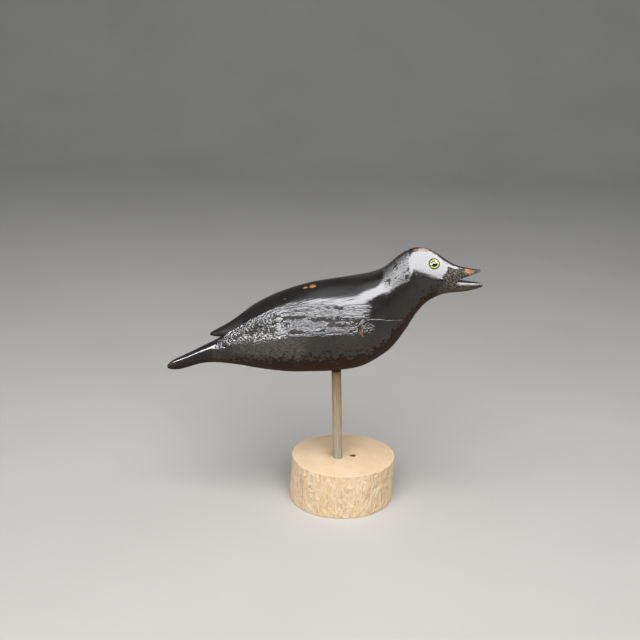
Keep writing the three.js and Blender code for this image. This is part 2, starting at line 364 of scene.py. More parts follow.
class Nodes:
    """Builds one material's nodes with few words."""

    def __init__(self, name):
        self.material = bpy.data.materials.new(name)
        self.material.use_nodes = True
        self.tree = self.material.node_tree
        self.tree.nodes.clear()
        self.shader = self.add("ShaderNodeBsdfPrincipled")
        self.link(self.shader.outputs[0], self.add("ShaderNodeOutputMaterial").inputs[0])
        self.place = self.add("ShaderNodeTexCoord").outputs["Object"]

    def add(self, kind):
        return self.tree.nodes.new(kind)

    def link(self, a, b):
        self.tree.links.new(a, b)

    def feed(self, socket, value):
        if isinstance(value, bpy.types.NodeSocket):
            self.link(value, socket)
        else:
            socket.default_value = value

    def math(self, operation, a, b=0.0, c=0.0, clamp=False):
        n = self.add("ShaderNodeMath")
        n.operation = operation
        n.use_clamp = clamp
        for socket, value in zip(n.inputs, (a, b, c)):
            self.feed(socket, value)
        return n.outputs[0]

    def mul(self, a, b):
        return self.math("MULTIPLY", a, b)

    def plus(self, a, b):
        return self.math("ADD", a, b)

    def attributes(self, *names):
        """One output for each named attribute of the mesh."""
        found = [self.add("ShaderNodeAttribute") for _ in names]
        for n, name in zip(found, names):
            n.attribute_name = name
        return [n.outputs["Fac"] for n in found]

    def stretch(self, scale):
        n = self.add("ShaderNodeMapping")
        self.link(self.place, n.inputs["Vector"])
        n.inputs["Scale"].default_value = scale
        return n.outputs[0]

    def texture(self, kind, scale, **values):
        n = self.add(kind)
        self.link(self.stretch(scale), n.inputs["Vector"])
        set_inputs(n, values)
        return n

    def noise(self, size, detail, rough, scale=(1, 1, 1), warp=0.0):
        n = self.texture("ShaderNodeTexNoise", scale, Scale=size, Detail=detail, Roughness=rough,
                         Distortion=warp)
        return n.outputs["Fac"]

    def brush(self):
        """Fine strokes along X, as a brush or the fibres of the wood leave them."""
        return self.noise(1, 4, 0.6, (60, 900, 900))

    def bands(self, scale, size, warp, detail, detail_size):
        """Wavering bands across Y."""
        n = self.texture("ShaderNodeTexWave", scale, Scale=size, Distortion=warp, Detail=detail,
                         Detail_Scale=detail_size)
        n.wave_type = "BANDS"
        n.bands_direction = "Y"
        return n.outputs["Fac"]

    def ramp(self, value, *stops):
        """stops are (position, grey or colour) pairs."""
        n = self.add("ShaderNodeValToRGB")
        self.feed(n.inputs[0], value)
        ramp = n.color_ramp
        while len(ramp.elements) < len(stops):
            ramp.elements.new(0.5)
        for element, (position, colour) in zip(ramp.elements, stops):
            element.position = position
            element.color = rgba(colour)
        return n.outputs[0]

    def mix(self, factor, a, b, how="MIX"):
        n = self.add("ShaderNodeMix")
        n.data_type = "RGBA"
        n.blend_type = how
        self.feed(n.inputs[0], factor)
        for socket, value in ((n.inputs[6], a), (n.inputs[7], b)):
            self.feed(socket, rgba(value))
        return n.outputs[2]

    def swing(self, value, amount):
        """A noise, which lies round a half, as a swing round zero."""
        return self.mul(self.math("SUBTRACT", value, 0.5), amount)

    def bump(self, height, distance, strength, under=None):
        n = self.add("ShaderNodeBump")
        self.feed(n.inputs["Height"], height)
        n.inputs["Distance"].default_value = distance
        self.feed(n.inputs["Strength"], strength)
        if under is not None:
            self.link(under, n.inputs["Normal"])
        return n.outputs[0]

    def finish(self, colour, roughness, normal=None, **plain):
        """Feeds the shader. plain holds the values that are the same all over."""
        self.feed(self.shader.inputs["Base Color"], rgba(colour))
        self.feed(self.shader.inputs["Roughness"], roughness)
        if normal is not None:
            self.link(normal, self.shader.inputs["Normal"])
        set_inputs(self.shader, plain)
        return self.material


# Materials

def paint_material():
    """Black gloss paint brushed over carved wood, with the grain showing in it, worn to the wood."""
    n = Nodes("black_paint")
    wear, thin_paint_and_reflection, rasp, comb = n.attributes("wear", "thin_paint_and_reflection", "rasp", "comb")
    matt, nick_and_highlight, dust = n.attributes("matt", "nick_and_highlight", "dust")
    grain = n.bands((0.12, 1, 1), 150, warp=9.0, detail=2.0, detail_size=0.35)
    brush = n.brush()
    cross = n.noise(1, 3, 0.6, (900, 900, 70))
    blotch = n.noise(45, 4, 0.6)
    grit = n.noise(1400, 2, 0.6)
    gouges = n.noise(520, 1, 0.5, (0.8, 1, 1), 0.3)
    streaks = n.noise(340, 3, 0.62, (0.1, 1, 1), 0.3)
    chips = n.noise(420, 4, 0.65, (0.6, 1, 1))
    worn = n.math("MULTIPLY_ADD", chips, 1.7, n.math("SUBTRACT", wear, 1.45))
    bare = n.math("MULTIPLY", worn, 5.0, clamp=True)
    rubbed = n.math("MULTIPLY_ADD", worn, 3.0, 0.7, clamp=True)
    rubbed = n.mul(rubbed, n.math("MULTIPLY", wear, 3.0, clamp=True))
    fibre = n.noise(1, 3, 0.6, (30, 500, 500))
    wood = n.ramp(fibre, (0.3, (0.08, 0.024, 0.004)), (0.7, (0.26, 0.080, 0.012)))
    black = n.ramp(blotch, (0.3, (0.006, 0.0055, 0.005)), (0.75, (0.020, 0.018, 0.015)))
    # Brown where the paint is thin, and on the faces turned down a painted warm reflection from below.
    brown = n.ramp(brush, (0.3, (0.010, 0.0035, 0.0015)), (0.75, (0.045, 0.012, 0.004)))
    see = n.mul(thin_paint_and_reflection, n.ramp(n.noise(90, 4, 0.6, (0.5, 1, 1)), (0.3, 0.35), (0.75, 1.0)))
    colour = n.mix(see, black, brown)
    film = n.ramp(n.noise(520, 5, 0.75, (0.45, 1, 1)), (0.38, 0.0), (0.68, 1.0))
    colour = n.mix(n.mul(dust, film), colour, (0.11, 0.097, 0.080))
    colour = n.mix(rubbed, colour, (0.07, 0.02, 0.008))
    colour = n.mix(bare, colour, wood)
    # Pale nicks in the paint; on the crown this pale colour is also a painted highlight on the worn
    # wood.
    colour = n.mix(n.mul(nick_and_highlight, n.ramp(chips, (0.42, 0.1), (0.58, 1.0))), colour, (0.46, 0.36, 0.25))
    rough = n.ramp(brush, (0.3, 0.13), (0.8, 0.21))
    rough = n.mix(matt, rough, 0.85)
    rough = n.mix(thin_paint_and_reflection, rough, 0.25)
    rough = n.mix(bare, rough, 0.95)
    height = n.bump(grain, 0.00012, n.math("MULTIPLY_ADD", comb, 0.9, 0.2))
    height = n.bump(streaks, 0.0026, comb, height)
    height = n.bump(brush, 0.0002, 0.5, height)
    height = n.bump(cross, 0.0001, 0.35, height)
    height = n.bump(gouges, 0.0028, rasp, height)
    height = n.bump(grit, 0.0003, n.math("MULTIPLY_ADD", matt, 0.9, 0.1), height)
    height = n.bump(bare, 0.0002, 0.4, height)
    return n.finish(colour, rough, height, IOR=1.52)


def bare_wood_material():
    """Wood laid open in the chips and the crack."""
    n = Nodes("bare_wood")
    fibre = n.brush()
    tone = n.plus(n.mul(fibre, 0.6), n.mul(n.noise(260, 3, 0.6, (0.6, 1, 1)), 0.4))
    colour = n.ramp(tone, (0.38, (0.12, 0.036, 0.009)), (0.62, (0.52, 0.235, 0.085)))
    return n.finish(colour, 0.8, n.bump(fibre, 0.0002, 0.5), Specular_IOR_Level=0.1)


def dull_paint_material():
    """The same paint gone dull, with light specks where it was roughened: the specks are painted glints
    of the rough paint.
    """
    n = Nodes("dull_paint")
    speck_and_glint, thin_paint_and_reflection = n.attributes("speck_and_glint", "thin_paint_and_reflection")
    brush = n.brush()
    blotch = n.noise(45, 4, 0.6)
    pits = n.noise(950, 3, 0.7, (0.8, 1, 1))
    black = n.ramp(blotch, (0.3, (0.005, 0.0045, 0.004)), (0.75, (0.015, 0.0135, 0.012)))
    # Brown where the paint is thin, and on the faces turned down a painted warm reflection from below.
    brown = n.ramp(brush, (0.3, (0.020, 0.010, 0.006)), (0.75, (0.070, 0.029, 0.015)))
    colour = n.mix(thin_paint_and_reflection, black, brown)
    # Light specks: painted glints on the roughened paint.
    light = n.ramp(pits, (0.50, 0.0), (0.60, 1.0))
    colour = n.mix(n.mul(light, speck_and_glint), colour, (0.24, 0.21, 0.165))
    height = n.bump(brush, 0.0002, 0.5)
    height = n.bump(pits, 0.0008, n.math("MULTIPLY_ADD", speck_and_glint, 0.9, 0.1), height)
    return n.finish(colour, 0.6, height, Specular_IOR_Level=0.06)


def glass_material():
    """Clear glass."""
    n = Nodes("eye_glass")
    return n.finish((1.0, 1.0, 1.0), 0.02, IOR=1.5, Transmission_Weight=1.0, Specular_IOR_Level=0.3)


def iris_material():
    """Yellow-green enamel that turns black towards the rim of the eye; the black rim is painted shade of
    the seat round the glass.
    """
    n = Nodes("iris_enamel")
    length = n.add("ShaderNodeVectorMath")
    length.operation = "LENGTH"
    n.link(n.stretch((1, 1, 0)), length.inputs[0])
    reach = n.math("DIVIDE", length.outputs["Value"], EYE_RADIUS)
    fibres = n.noise(1500, 3, 0.6)
    reach = n.plus(reach, n.swing(fibres, 0.08))
    # The black outer ring is painted shade where the glass sits in its bore.
    colour = n.ramp(reach, (0.0, (0.30, 0.34, 0.05)), (0.55, (0.42, 0.47, 0.08)),
                    (0.68, (0.48, 0.53, 0.13)), (0.75, (0.05, 0.05, 0.02)), (1.0, (0.015, 0.015, 0.010)))
    return n.finish(colour, 0.9, Specular_IOR_Level=0.1)


def pupil_material():
    """Black enamel."""
    n = Nodes("pupil_enamel")
    tone = n.noise(700, 2, 0.5)
    return n.finish(n.ramp(tone, (0.3, 0.003), (0.7, 0.006)), 1.0, Specular_IOR_Level=0.0)


def dowel_material():
    """Old hardwood, tan under the crow and grey lower down, with a dark collar where it goes in: black
    paint, and painted shade under the belly.
    """
    n = Nodes("dowel_wood")
    split = n.add("ShaderNodeSeparateXYZ")
    n.link(n.place, split.inputs[0])
    up = n.math("DIVIDE", split.outputs["Z"], DOWEL_REACH)
    fibre = n.noise(1, 4, 0.62, (900, 900, 35))
    blotch = n.noise(110, 3, 0.6, (1, 1, 0.35))
    level = n.plus(up, n.swing(blotch, 0.35))
    base = n.ramp(level, (0.0, (0.45, 0.41, 0.33)), (0.25, (0.47, 0.39, 0.27)),
                  (0.7, (0.41, 0.29, 0.16)), (1.0, (0.33, 0.21, 0.10)))
    # The dark collar at the top: black paint on the dowel and painted shade where it goes into the
    # belly.
    collar_paint_and_shade = n.ramp(n.plus(up, n.swing(blotch, 0.05)), (0.950, 0.0), (0.968, 1.0))
    base = n.mix(collar_paint_and_shade, base, (0.028, 0.016, 0.010))
    dark = n.ramp(fibre, (0.32, 0.55), (0.62, 1.08))
    colour = n.mix(1.0, base, dark, "MULTIPLY")
    height = n.bump(fibre, 0.00025, 0.6)
    return n.finish(colour, 0.72, height, Specular_IOR_Level=0.15)


def log_material():
    """The sawn top, the glue round the dowel, the pith hole and the bark in one material."""
    n = Nodes("log_wood")
    bark, furrow = n.attributes("bark", "furrow")
    ring, pith, glue, dark_patch = n.attributes("ring", "pith", "glue", "dark_patch")
    wobble = n.swing(n.noise(60, 3, 0.6, (1, 1, 0.2)), 5.0)
    wave = n.math("SINE", n.plus(n.mul(ring, 2200.0), wobble))
    rings = n.math("MULTIPLY_ADD", wave, 0.5, 0.5)
    soft = n.noise(28, 4, 0.6)
    fine = n.noise(900, 3, 0.6)
    saw = n.noise(60, 3, 0.6, (1, 22, 1))
    top = n.ramp(soft, (0.3, (0.76, 0.55, 0.34)), (0.55, (0.86, 0.65, 0.43)),
                 (0.75, (0.88, 0.70, 0.50)))
    top = n.mix(n.mul(rings, 0.10), top, (0.62, 0.42, 0.24))
    top = n.mix(n.mul(saw, 0.16), top, (0.90, 0.76, 0.58))
    top = n.mix(dark_patch, top, (0.46, 0.33, 0.19))
    top = n.mix(pith, top, (0.085, 0.035, 0.012))
    top = n.mix(glue, top, (0.72, 0.69, 0.58))
    patch = n.noise(70, 4, 0.65, (1, 1, 0.35))
    side = n.ramp(patch, (0.3, (0.80, 0.56, 0.32)), (0.5, (0.88, 0.66, 0.41)),
                  (0.72, (0.90, 0.76, 0.57)))
    side = n.mix(furrow, side, (0.40, 0.27, 0.17))
    veins = n.noise(620, 4, 0.65, (1, 1, 0.22))
    side = n.mix(n.mul(n.ramp(veins, (0.5, 0.0), (0.68, 1.0)), 0.45), side, (0.50, 0.37, 0.25))
    side = n.mix(n.mul(n.ramp(veins, (0.32, 1.0), (0.46, 0.0)), 0.5), side, (0.95, 0.86, 0.70))
    side = n.mix(n.mul(n.ramp(fine, (0.45, 0.0), (0.75, 1.0)), 0.3), side, (0.90, 0.80, 0.64))
    colour = n.mix(bark, top, side)
    rough = n.ramp(fine, (0.3, 0.82), (0.7, 0.95))
    height = n.bump(fine, 0.0003, 0.7)
    height = n.bump(n.mul(saw, n.math("SUBTRACT", 1.0, bark)), 0.00022, 0.5, height)
    height = n.bump(n.mul(n.noise(420, 4, 0.65, (1, 1, 0.3)), bark), 0.0013, 0.8, height)
    return n.finish(colour, rough, height, Specular_IOR_Level=0.05)


def floor_material():
    """Plain pale paper."""
    n = Nodes("floor_paper")
    tone = n.noise(3, 3, 0.5)
    colour = n.ramp(tone, (0.3, (0.56, 0.55, 0.535)), (0.7, (0.60, 0.59, 0.575)))
    return n.finish(colour, 0.8, Specular_IOR_Level=0.0)


# The crow

paint = paint_material()
bare_wood = bare_wood_material()
dull_paint = dull_paint_material()
# The order of the crow's materials.
PAINT, BARE, DULL = range(3)

mast_place = Matrix.Translation(DOWEL_FOOT) @ Matrix.Rotation(-DOWEL_LEAN, 4, "Y")
bird_place = mast_place @ Matrix.Translation((0, 0, DOWEL_REACH))


def eye_place(side):
    """Where an eye sits on the crow, with Z looking out of it. side is -1 for the crow's right."""
    look = Vector((math.cos(EYE_TILT) * math.sin(EYE_FORWARD),
                   side * math.cos(EYE_TILT) * math.cos(EYE_FORWARD), math.sin(EYE_TILT)))
    spot = Vector((EYE_AT, side * EYE_OUT, EYE_UP)) * BIRD_LENGTH
    return Matrix.Translation(spot) @ look.to_track_quat("Z", "Y").to_matrix().to_4x4()


def body_places():
    """Places of the rings: closer together where the carving is slim."""
    grid = np.linspace(BODY[0][0], BODY[-1][0], 2000)
    tall = line_through(BODY, 1, grid) - line_through(BODY, 2, grid)
    step = np.clip(tall * 0.016, 0.0011, 0.0036)
    run = np.concatenate([[0], np.cumsum(np.diff(grid) / step[1:])])
    return np.interp(np.linspace(0, run[-1], int(run[-1])), run, grid)


def surface_y(x, z):
    """Half width of the crow at a place along it and a height, in metres."""
    at = x / BIRD_LENGTH
    back, belly, half, girth, upper, lower = (line_through(BODY, c, at) for c in range(1, 7))
    middle = belly + girth * (back - belly)
    h = z / BIRD_LENGTH - middle
    share = np.clip(np.abs(h) / np.where(h > 0, back - middle, middle - belly), 0, 1)
    square = np.where(h > 0, upper, lower)
    return half * (1 - share ** square) ** (1 / square) * BIRD_LENGTH


def mouth_cutter():
    """The wedge between the upper and the lower bill."""
    outline = np.array(MOUTH) * BIRD_LENGTH
    rings = [np.insert(outline, 1, y, axis=1) for y in (-MOUTH_HALF, MOUTH_HALF)]
    return solid("mouth", np.stack(rings), paint)


def crack_cutter():
    """A thin blade that follows the check in the breast, from the flank to the front."""
    x = np.linspace(18, 84, 45) * MM
    z = np.interp(x, np.array([18, 48, 76, 84]) * MM, np.array([72.4, 68.4, 61.6, 58.2]) * MM)
    z = z + 0.35 * MM * np.sin(x / (5.3 * MM)) + 0.2 * MM * np.sin(x / (1.9 * MM))
    y = -surface_y(x, z)
    centre = np.stack([x, y, z], -1)
    up = np.array([0, 0, 1.0])
    out = np.cross(np.gradient(centre, axis=0), up)
    out /= np.linalg.norm(out, axis=1)[:, None]
    width = np.sin(np.linspace(0, math.pi, len(x))) ** 0.5 + 0.05
    rings = [centre + up * (high * MM * width)[:, None] + out * (deep * MM * width)[:, None]
             for high, deep in ((-1.05, 0.25), (0.0, -0.5), (0.16, 0.6), (-0.95, 0.9))]
    return solid("crack", np.stack(rings, 1), paint, bare_wood)


def bevel_cutter(side):
    """Takes the upper outside edge off the lower bill, from the corner of the mouth to the tip."""
    (corner, low), (tip, high) = MOUTH[:2]
    x = np.linspace(corner - 0.004, 0.4625, 24) * BIRD_LENGTH
    z = low * BIRD_LENGTH + (high - low) / (tip - corner) * (x - corner * BIRD_LENGTH)
    y = surface_y(x, z) * side
    centre = np.stack([x, y, z], -1)
    out = np.array([0, side, 0]) * MM
    up = np.array([0, 0, 1]) * MM
    deep = np.interp(x, [x[0], x[0] + 4 * MM, x[-1]], [0.6, 1.9, 1.3])[:, None]
    corners = [centre - out * deep + up * 0.05, centre + out * 3 + up * 0.05 - up * (deep + 3) * 1.7,
               centre + out * 3 + up * 1.2, centre - out * deep + up * 1.2]
    return solid("bevel", np.stack(corners, 1), paint, bare_wood)


# Centre and size of the chip, in millimetres.
CHIP_AT = (27, -43.0, 57.2)
CHIP_SIZE = (1.6, 1.5, 6.8)


def chip_cutter():
    """A small lumpy lens, leaning in the side view, for the chip under the check."""
    turn = math.radians(20)
    latitudes = math.pi * (np.arange(CHIP_RINGS) + 0.5) / CHIP_RINGS
    rings = round_rings([(math.sin(a), math.cos(a)) for a in latitudes], CHIP_SIDES)
    flat = rings.reshape(-1, 3)
    flat = flat * (1 + 0.22 * noise(flat, (0.7, 0.7, 0.7), 3))[:, None]
    flat = flat * np.array(CHIP_SIZE) * MM
    c, s = math.cos(turn), math.sin(turn)
    flat = flat @ np.array([[c, 0, s], [0, 1, 0], [-s, 0, c]])
    rings = (flat + np.array(CHIP_AT) * MM).reshape(rings.shape)
    made = solid("chip", rings, paint, bare_wood)
    for face in made.data.polygons:
        face.material_index = BARE
    return made


def soften(mesh, weight, rounds):
    """Smooths the mesh where weight is above zero."""
    co = vectors(mesh.vertices, "co")
    ends = np.zeros(len(mesh.edges) * 2, np.int32)
    mesh.edges.foreach_get("vertices", ends)
    a, b = ends.reshape(-1, 2).T
    both = np.concatenate([a, b])
    other = np.concatenate([b, a])
    count = np.bincount(both, minlength=len(co))
    for _ in range(rounds):
        total = np.stack([np.bincount(both, co[other, k], len(co)) for k in range(3)], -1)
        co += 0.5 * weight[:, None] * (total / count[:, None] - co)
    set_coordinates(mesh, co)


# Places on the crow from here on are in millimetres, from where the dowel meets the belly line.
# Centre, size and strength of each place that is worn or knocked to the wood.
WORN = [
    ((-24.5, -9.2, 99.6), (8, 5, 4), 1.25),
    ((-33, -9, 98), (7, 4, 3.5), 0.95),
    ((-46, 4, 94.5), (6, 3, 4), 0.75),
    ((100, -4.5, 138), (17, 7, 5.5), 1.0),
    ((90, -4, 138), (7, 4, 3), 1.05),
    ((110, -3.5, 134), (7, 4, 3), 0.9),
    ((148.5, -4.5, 112.3), (9.5, 4.5, 4.4), 1.7),
    ((53.9, -3.2, 115.6), (3, 3, 3), 0.9),
    ((27, -42.5, 57), (3, 4, 7.5), 0.9),
    ((-8, 20, 96), (8, 4, 4), 0.8),
    ((40, 36, 60), (5, 4, 3), 0.8),
    ((-120, 12, 40), (9, 5, 4), 0.7),
]
# Centre, size and strength of each pale nick in the paint; the pale patch on the crown is also a painted
# highlight on the worn wood.
NICKS_AND_HIGHLIGHT = [
    ((-10.9, -37.9, 22.3), (1.5, 2.5, 1.5), 1.6),
    ((-55.3, -18.1, 87.9), (1.3, 2.5, 1.3), 1.6),
    ((99, -5.0, 138.2), (9, 5, 3.4), 1.1),
]
# Lines along the crow, as (place, height): the edge between the smooth back and the worked flank,
# the long hollow under the shoulder and the upper edge of the dull paint on the bill.
FLANK_EDGE = [(-130, 39.5), (-118, 48.8), (-106, 57), (-94, 65), (-80, 73), (-66, 79.5),
              (-49, 85.5), (-28, 90), (-6, 90.4), (16, 92), (34, 95), (49, 100)]
HOLLOW = [(-130, 34), (-106, 50), (-84, 60), (-61, 67.6), (-49, 71.1), (-20, 72), (20, 74)]
BILL_EDGE = [(119, 123.5), (132, 117.5), (164, 113.5)]
# How deep the hollow is and how full the cheek, as (place, depth).
HOLLOW_DEEP = [(-90, 0), (-76, 0.85), (-46, 0.8), (-30, 0.62), (12, 0.58), (32, 0)]
CHEEK_FULL = [(82, 0), (92, -0.9), (104, 0.1), (117, 1.3), (122, 0)]
# A face shows bare wood or dull paint where its corners' mean is above these.
BARE_FROM = 0.62
DULL_FROM = 0.5


class Surface:
    """The carving's points, x and z in millimetres, and its zones: 1 inside and 0 outside."""

    def __init__(self, mesh):
        self.co = vectors(mesh.vertices, "co")
        self.normal = vectors(mesh.vertex_normals, "vector")
        x, y, z = self.co.T / MM
        self.x = x
        self.z = z
        self.up = self.normal[:, 2]
        self.edge = along(FLANK_EDGE, x)
        self.hollow = along(HOLLOW, x) + 0.7 * np.sin(x / 9)
        self.below_edge = ease(self.edge + 1, self.edge - 2.5, z)
        # The far side isn't in the picture, and is plainer.
        self.far = ease(-8, 8, y)
        bill_edge = along(BILL_EDGE, x)
        strip = ease(0.3, 0.42, self.up) * ease(103, 101, z) * ease(130, 133, x)
        self.bill_root = (ease(119.5, 123.5, x - 0.4 * (z - 112))
                          * ease(bill_edge - 0.5, bill_edge - 2.5, z) * (1 - strip))
        self.cheek = window(x, 84, 90, 118, 124) * window(z, 104, 108, 113, 119)
        self.nape = window(x, 50, 56, 80.5, 82.5) * ease(98, 106, z - 0.25 * (x - 60))
        self.nape *= ease(2, 7, np.abs(y)) * (1 - self.far)
        self.low_flank = window(x, -70, -50, 22, 46) * window(z, 50, 58, 75, 83)
        self.rear_flank = window(x, -142, -130, -66, -48) * window(
            z, self.hollow - 12, self.hollow - 6, self.edge - 8, self.edge - 3)


def carved_lift(s, wear):
    """How far the surface stands out or in, in millimetres."""
    x, z = s.x, s.z
    # Knife work: long shallow facets, finer at the tail and on the bill.
    lift = 0.22 * noise(s.co, (0.034, 0.016, 0.016), 2)
    lift += 0.1 * noise(s.co, (0.015, 0.007, 0.007), 3)
    lift += 0.1 * ease(-60, -105, x) * noise(s.co, (0.006, 0.003, 0.003), 5)
    bill = ease(112, 128, x)
    lift *= 1 - 0.45 * bill
    lift += 0.12 * bill * noise(s.co, (0.004, 0.002, 0.002), 6)
    # The ridge where the back of the head meets the neck.
    seam = 83 + 0.6 * np.sin(z / 6)
    lift += np.where(z > 96, 0.3 * np.exp(-((x - seam - 1.4) / 1.5) ** 2)
                     - 0.30 * np.exp(-((x - seam + 1.2) / 1.3) ** 2), 0) * ease(96, 104, z)
    # The cheek is fuller towards the bill.
    lift += along(CHEEK_FULL, x) * np.exp(-((z - 103) / 6.5) ** 2)
    lift -= 0.18 * ease(0.35, 0.7, wear)
    # The soft shoulder over the flank, and the long hollow under it.
    lift += 1.6 * window(x, -108, -92, 46, 58) * np.exp(-((z - s.edge + 2.2) / 7.5) ** 2)
    lift += along(HOLLOW_DEEP, x) * swell((z - s.hollow) / 4)
    return lift


def paint_fields(s):
    """The fields that the paint's nodes read, but for the wear."""
    x, z = s.x, s.z
    near = 1 - 0.6 * s.far
    # Thin brown paint low on the belly, along the breast and throat, and at the tail; on the faces
    # turned down the brown is also a painted warm reflection from below.
    down = ease(0.2, -0.8, s.up)
    front = ease(0.42, 0.9, s.normal[:, 0]) * ease(112, 96, z)
    thin_paint_and_reflection = most(np.clip(0.95 * down + 0.8 * front, 0, 1) * ease(-196, -150, x),
                0.5 * ease(-170, -192, x))
    # Gouge marks, also round the chip.
    rasp = most(near * window(x, -142, -126, -72, -42) * ease(-0.12, 0.25, s.up) * s.below_edge,
                0.5 * s.bill_root * ease(146, 138, x),
                0.8 * np.clip(2 * blob(s.co, (37, -41, 60), (9, 8, 9)), 0, 1),
                0.55 * s.nape,
                0.75 * s.low_flank * ease(77, 71, z))
    # Combed streaks along the flank, coarser low down, and faint ones on the cheek.
    flank = near * window(x, -66, -50, 22, 46) * ease(50, 60, z) * s.below_edge
    comb = most(flank * (0.38 + 0.74 * ease(88, 83, z)), 0.12 * s.cheek)
    nick_and_highlight = np.clip(blobs(s.co, NICKS_AND_HIGHLIGHT), 0, 1)
    # Less gloss.
    matt = most(0.52 * s.nape, 0.45 * s.bill_root, 0.12 * s.low_flank,
                0.1 * ease(52, 40, z) * ease(60, 20, x), 0.9 * nick_and_highlight)
    # Dust.
    dust = most(window(x, -125, -100, -45, -20) * window(z, 20, 30, 50, 58), 0.35 * s.bill_root,
                0.2 * ease(-60, -20, x) * ease(60, 50, z))
    # Light specks on the dull paint, painted glints of the roughened paint at the root of the bill and
    # on the flank.
    speck_and_glint = most(s.bill_root * ease(163, 160, x),
                 0.3 * np.clip(s.low_flank + s.rear_flank, 0, 1))
    return {"thin_paint_and_reflection": thin_paint_and_reflection, "rasp": rasp, "comb": comb, "matt": matt, "nick_and_highlight": nick_and_highlight, "dust": dust,
            "speck_and_glint": speck_and_glint}


def dull_places(s, thin_paint_and_reflection):
    """Where the paint is dull: such a place has values above DULL_FROM."""
    x, z = s.x, s.z
    ragged = noise(s.co, (0.004, 0.002, 0.002), 9)
    # The root of the bill, the wing tips and the tail, but not the facet along the tail's edge.
    bill = s.bill_root * ease(163, 160, x) + 0.35 * ragged
    tips = (ease(-98, -104, x + 3 * ragged)
            * ease(s.edge - 1.5, s.edge + 1.5, z + 0.8 * ragged))
    tail = ease(-137, -142, x + 4 * ragged) * (1 - window(s.up, 0.30, 0.42, 0.74, 0.86))
    # The thin brown paint, which on the faces turned down is also a painted warm reflection, with a
    # dithered edge.
    brown = 0.88 * thin_paint_and_reflection + 0.5 * noise(s.co, (0.0011, 0.0009, 0.0009), 17) + 0.08 * ragged
    # Streaks low on the flank, fine lines high on it, and crumbs on the rear flank and the nape,
    # each with the share of the surface that they take.
    streaks = noise(s.co, (0.018, 0.0022, 0.0022), 14, 3)
    low = 0.56 + 0.22 * np.exp(-((z - s.hollow) / 4.5) ** 2) + 0.1 * ease(68, 63, z)
    low = low * s.low_flank * (1 - 0.5 * s.far)
    lines = noise(s.co, (0.03, 0.0016, 0.0016), 16, 2)
    high = 0.56 * window(x, -58, -40, 26, 46) * window(z, 74, 79, s.edge - 8, s.edge - 3) * (1 - s.far)
    crumbs = noise(s.co, (0.0024, 0.0017, 0.0017), 15)
    rear = most(0.8 * s.rear_flank * (1 - 0.4 * s.far), 0.57 * s.nape)
    marks = [mark - 0.7 + 1.5 * share for mark, share in ((streaks, low), (lines, high), (crumbs, rear))]
    return most(bill, tips, tail, brown, *marks)


def relief(body):
    """Gives the carving its knife work, its wear and the finish of each face."""
    mesh = body.data
    s = Surface(mesh)
    wear = most(blobs(s.co, WORN), 0.5 * ease(-188, -193, s.x), 0.6 * ease(159, 163.5, s.x))
    fields = {"wear": wear} | paint_fields(s)
    bare = wear + 0.22 * noise(s.co, (0.004, 0.002, 0.002), 8) - 2 * fields["nick_and_highlight"]
    dull = dull_places(s, fields["thin_paint_and_reflection"])
    set_coordinates(mesh, s.co + s.normal * (carved_lift(s, wear) * MM)[:, None])
    for face in mesh.polygons:
        corners = list(face.vertices)
        bevel = face.normal.z > 0.3 and face.center.z < 0.103 and face.center.x > 0.132
        if bare[corners].mean() > BARE_FROM:
            face.material_index = BARE
        elif face.material_index == PAINT and dull[corners].mean() > DULL_FROM and not bevel:
            face.material_index = DULL
    put_fields(mesh, fields)


def eye_bore(side):
    """The cutter of the shallow bore that an eye is seated in."""
    made = rod("bore", EYE_RADIUS + GAP, -EYE_SEAT - GAP, EYE_CUTTER)
    made.data.transform(eye_place(side))
    return made


def make_crow():
    """The body joined with the wing tips, softened at the joint, then cut and finished."""
    body = solid("crow_carving", carve(BODY, body_places(), CROW_SIDES, BODY_SOFT),
                 paint, bare_wood, dull_paint)
    tip_places = np.linspace(WING_TIPS[0][0], WING_TIPS[-1][0], TIP_RINGS)
    boolean(body, solid("tips", carve(WING_TIPS, tip_places, TIP_SIDES, TIPS_SOFT), paint), "UNION")
    x, y, z = vectors(body.data.vertices, "co").T / MM
    joint = window(x, -131, -122, -80, -66) * ease(3, 6, np.abs(y))
    soften(body.data, joint * ease(36, 42, z), 90)
    dowel_bore = rod("bore", DOWEL_RADIUS + GAP, -DOWEL_IN_CROW, DOWEL_IN_CROW + GAP)
    for cutter in (mouth_cutter(), bevel_cutter(-1), bevel_cutter(1), crack_cutter(), chip_cutter(),
                   dowel_bore, eye_bore(-1), eye_bore(1)):
        boolean(body, cutter, "DIFFERENCE")
    relief(body)
    body.data.set_sharp_from_angle(angle=math.radians(48))
    for face in body.data.polygons:
        face.use_smooth = True
    body.data.transform(bird_place)
    return body


crow = make_crow()
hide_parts("crow_body")
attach(crow, "root")


# The eyes: a clear glass button, with the iris and the pupil sealed in it

glass = glass_material()
iris_enamel = iris_material()
pupil_enamel = pupil_material()

# Profiles, from the axis to the axis: the iris as (share of the eye's radius, height) and the
# pupil as (radius, height), in millimetres.
IRIS = [(0.02, -1.5), (0.97, -1.5), (0.985, -0.9), (0.97, -0.35), (0.8, -0.2), (0.56, 0.1), (0.02, 0.1)]
PUPIL = [(0.1, 0.14), (2.95, 0.14), (3.0, 0.3), (2.75, 0.55), (2.0, 0.8), (1.0, 0.9), (0.05, 0.92)]


def turned(name, profile, sides, material):
    """A solid turned round Z from a profile of (radius, height) pairs, from the axis to the axis."""
    made = solid(name, round_rings(profile, sides), material)
    smooth_shading(made, 40)
    return made


